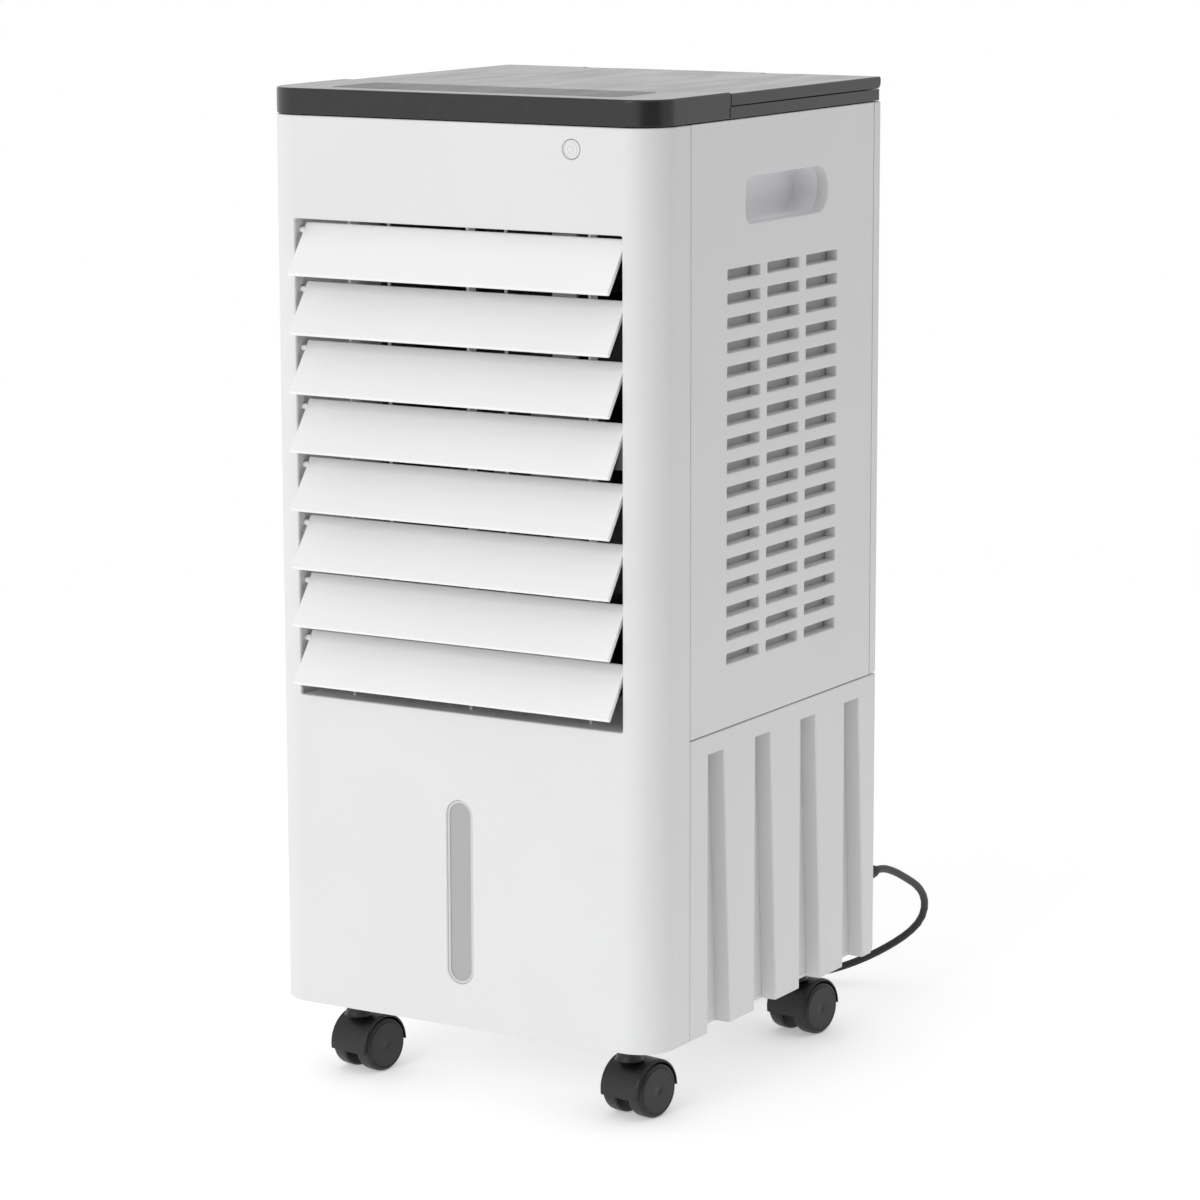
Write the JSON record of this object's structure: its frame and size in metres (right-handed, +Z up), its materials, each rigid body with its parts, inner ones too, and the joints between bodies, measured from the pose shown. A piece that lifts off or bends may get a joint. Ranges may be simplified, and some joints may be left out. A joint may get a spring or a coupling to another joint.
{
  "type": "evaporative cooler",
  "caption": "Slim upright evaporative cooler on swivel casters with slanted louvre blades, slotted side panels, a slide-out water tank, a black flip-up filling lid and a mains lead.",
  "frame": {"origin": "middle of the footprint on the floor, measured over the case and the louvre blades", "axes": "+Z up; the louvred front faces -Y; +X is the right-hand side seen from the front"},
  "size_m": [0.25, 0.3634, 0.563],
  "materials": {
    "white_shell": "satin moulded plastic, fine texture",
    "white_blade": "smooth semi-gloss moulded plastic",
    "inner_grey": "dull dark moulded plastic",
    "rib_grey": "dull light grey moulded plastic",
    "black_gloss": "polished black plastic",
    "black_matt": "satin black moulded plastic",
    "rubber_black": "dull black flexible plastic",
    "clear_window": "smoked see-through plastic",
    "tank_plastic": "frosted milky plastic",
    "pad_brown": "corrugated honeycomb paper",
    "steel": "turned bright steel",
    "board_green": "coated circuit board",
    "hose_clear": "soft clear tube",
    "motor_grey": "zinc-plated and painted pressed steel"
  },
  "bodies": {
    "case": {"front_shell": "white_shell", "level_window": "clear_window", "receiver_lens": "clear_window", "side_panel_right": "white_shell", "side_liner_right": "rib_grey", "side_panel_left": "white_shell", "side_liner_left": "rib_grey", "base_chassis": "white_shell", "rear_cover": "white_shell", "pad_frame": "rib_grey", "cooling_pad": "pad_brown", "water_distributor": "tank_plastic", "ice_tray": "tank_plastic", "top_panel": "black_gloss", "lid_hinge_pin": "steel", "control_board": "board_green", "outlet_duct": "rib_grey", "swing_motor": "motor_grey", "fan_shroud": "inner_grey", "motor_mount": "rib_grey", "fan_motor": "motor_grey", "riser_hose": "hose_clear", "caster_stem_front_left": "steel", "caster_stem_front_right": "steel", "caster_stem_rear_left": "steel", "caster_stem_rear_right": "steel", "strain_relief": "black_matt", "power_cord": "rubber_black", "cord_coil": "rubber_black", "cord_tie": "black_matt", "mains_plug": "black_matt"},
    "lid": {"fill_lid": "black_gloss"},
    "blade_1": {"louvre_blade_1": "white_blade"},
    "blade_2": {"louvre_blade_2": "white_blade"},
    "blade_3": {"louvre_blade_3": "white_blade"},
    "blade_4": {"louvre_blade_4": "white_blade"},
    "blade_5": {"louvre_blade_5": "white_blade"},
    "blade_6": {"louvre_blade_6": "white_blade"},
    "blade_7": {"louvre_blade_7": "white_blade"},
    "blade_8": {"louvre_blade_8": "white_blade"},
    "blade_link": {"louvre_link_bar": "inner_grey"},
    "vane_1": {"swing_vane_1": "inner_grey"},
    "vane_2": {"swing_vane_2": "inner_grey"},
    "vane_3": {"swing_vane_3": "inner_grey"},
    "vane_link": {"swing_link_bar": "inner_grey"},
    "intake_grille": {"rear_grille": "white_shell", "dust_screen": "inner_grey"},
    "tank": {"water_tank": "tank_plastic", "tank_fascia": "tank_plastic", "water_pump": "black_matt"},
    "tank_drain": {"drain_plug": "rubber_black"},
    "blower": {"blower_wheel": "black_matt"},
    "caster_front_left": {"caster_hood_front_left": "black_matt"},
    "wheels_front_left": {"caster_wheels_front_left": "black_matt"},
    "caster_front_right": {"caster_hood_front_right": "black_matt"},
    "wheels_front_right": {"caster_wheels_front_right": "black_matt"},
    "caster_rear_left": {"caster_hood_rear_left": "black_matt"},
    "wheels_rear_left": {"caster_wheels_rear_left": "black_matt"},
    "caster_rear_right": {"caster_hood_rear_right": "black_matt"},
    "wheels_rear_right": {"caster_wheels_rear_right": "black_matt"}
  },
  "joints": [
    {"name": "lid_hinge", "type": "hinge", "parent": "case", "child": "lid", "pos_m": [0, 0.131, 0.5589], "axis": [-1, 0, 0], "range_deg": [0, 95]},
    {"name": "louvre_1_tilt", "type": "hinge", "parent": "case", "child": "blade_1", "pos_m": [0, -0.1165, 0.4847], "axis": [1, 0, 0], "range_deg": [-40, 25]},
    {"name": "louvre_2_tilt", "type": "hinge", "parent": "case", "child": "blade_2", "pos_m": [0, -0.1165, 0.452], "axis": [1, 0, 0], "range_deg": [-40, 25]},
    {"name": "louvre_3_tilt", "type": "hinge", "parent": "case", "child": "blade_3", "pos_m": [0, -0.1165, 0.4193], "axis": [1, 0, 0], "range_deg": [-40, 25]},
    {"name": "louvre_4_tilt", "type": "hinge", "parent": "case", "child": "blade_4", "pos_m": [0, -0.1165, 0.3866], "axis": [1, 0, 0], "range_deg": [-40, 25]},
    {"name": "louvre_5_tilt", "type": "hinge", "parent": "case", "child": "blade_5", "pos_m": [0, -0.1165, 0.3539], "axis": [1, 0, 0], "range_deg": [-40, 25]},
    {"name": "louvre_6_tilt", "type": "hinge", "parent": "case", "child": "blade_6", "pos_m": [0, -0.1165, 0.3212], "axis": [1, 0, 0], "range_deg": [-40, 25]},
    {"name": "louvre_7_tilt", "type": "hinge", "parent": "case", "child": "blade_7", "pos_m": [0, -0.1165, 0.2885], "axis": [1, 0, 0], "range_deg": [-40, 25]},
    {"name": "louvre_8_tilt", "type": "hinge", "parent": "case", "child": "blade_8", "pos_m": [0, -0.1165, 0.2558], "axis": [1, 0, 0], "range_deg": [-40, 25]},
    {"name": "louvre_link_pivot", "type": "hinge", "parent": "blade_1", "child": "blade_link", "pos_m": [0, -0.1065, 0.4847], "axis": [1, 0, 0], "range_deg": [-25, 40]},
    {"name": "vane_1_swing", "type": "hinge", "parent": "case", "child": "vane_1", "pos_m": [-0.077, -0.0575, 0.355], "axis": [0, 0, 1], "range_deg": [-30, 30]},
    {"name": "vane_2_swing", "type": "hinge", "parent": "case", "child": "vane_2", "pos_m": [0, -0.0575, 0.355], "axis": [0, 0, 1], "range_deg": [-30, 30]},
    {"name": "vane_3_swing", "type": "hinge", "parent": "case", "child": "vane_3", "pos_m": [0.077, -0.0575, 0.355], "axis": [0, 0, 1], "range_deg": [-30, 30]},
    {"name": "vane_link_pivot", "type": "hinge", "parent": "vane_2", "child": "vane_link", "pos_m": [0, -0.0415, 0.232], "axis": [0, 0, 1], "range_deg": [-30, 30]},
    {"name": "grille_pull", "type": "slide", "parent": "case", "child": "intake_grille", "axis": [0, 1, 0], "range_m": [0, 0.08]},
    {"name": "tank_slide", "type": "slide", "parent": "case", "child": "tank", "axis": [0, 1, 0], "range_m": [0, 0.2]},
    {"name": "drain_pull", "type": "slide", "parent": "tank", "child": "tank_drain", "axis": [0, 1, 0], "range_m": [0, 0.02]},
    {"name": "blower_spin", "type": "hinge", "parent": "case", "child": "blower", "pos_m": [0, 0.0325, 0.355], "axis": [0, 1, 0], "continuous": true},
    {"name": "caster_front_left_swivel", "type": "hinge", "parent": "case", "child": "caster_front_left", "pos_m": [-0.09, -0.0915, 0.036], "axis": [0, 0, 1], "continuous": true},
    {"name": "wheels_front_left_roll", "type": "hinge", "parent": "caster_front_left", "child": "wheels_front_left", "pos_m": [-0.08861, -0.08362, 0.0155], "axis": [0.9848, -0.1736, 0], "continuous": true},
    {"name": "caster_front_right_swivel", "type": "hinge", "parent": "case", "child": "caster_front_right", "pos_m": [0.09, -0.0915, 0.036], "axis": [0, 0, 1], "continuous": true},
    {"name": "wheels_front_right_roll", "type": "hinge", "parent": "caster_front_right", "child": "wheels_front_right", "pos_m": [0.09139, -0.08362, 0.0155], "axis": [0.9848, -0.1736, 0], "continuous": true},
    {"name": "caster_rear_left_swivel", "type": "hinge", "parent": "case", "child": "caster_rear_left", "pos_m": [-0.09, 0.1015, 0.036], "axis": [0, 0, 1], "continuous": true},
    {"name": "wheels_rear_left_roll", "type": "hinge", "parent": "caster_rear_left", "child": "wheels_rear_left", "pos_m": [-0.08861, 0.10938, 0.0155], "axis": [0.9848, -0.1736, 0], "continuous": true},
    {"name": "caster_rear_right_swivel", "type": "hinge", "parent": "case", "child": "caster_rear_right", "pos_m": [0.09, 0.1015, 0.036], "axis": [0, 0, 1], "continuous": true},
    {"name": "wheels_rear_right_roll", "type": "hinge", "parent": "caster_rear_right", "child": "wheels_rear_right", "pos_m": [0.09139, 0.10938, 0.0155], "axis": [0.9848, -0.1736, 0], "continuous": true}
  ],
  "couplings": [
    {"joint": "louvre_2_tilt", "follows": "louvre_1_tilt", "ratio": 1},
    {"joint": "louvre_3_tilt", "follows": "louvre_1_tilt", "ratio": 1},
    {"joint": "louvre_4_tilt", "follows": "louvre_1_tilt", "ratio": 1},
    {"joint": "louvre_5_tilt", "follows": "louvre_1_tilt", "ratio": 1},
    {"joint": "louvre_6_tilt", "follows": "louvre_1_tilt", "ratio": 1},
    {"joint": "louvre_7_tilt", "follows": "louvre_1_tilt", "ratio": 1},
    {"joint": "louvre_8_tilt", "follows": "louvre_1_tilt", "ratio": 1},
    {"joint": "louvre_link_pivot", "follows": "louvre_1_tilt", "ratio": -1},
    {"joint": "vane_1_swing", "follows": "vane_2_swing", "ratio": 1},
    {"joint": "vane_3_swing", "follows": "vane_2_swing", "ratio": 1},
    {"joint": "vane_link_pivot", "follows": "vane_2_swing", "ratio": -1}
  ]
}
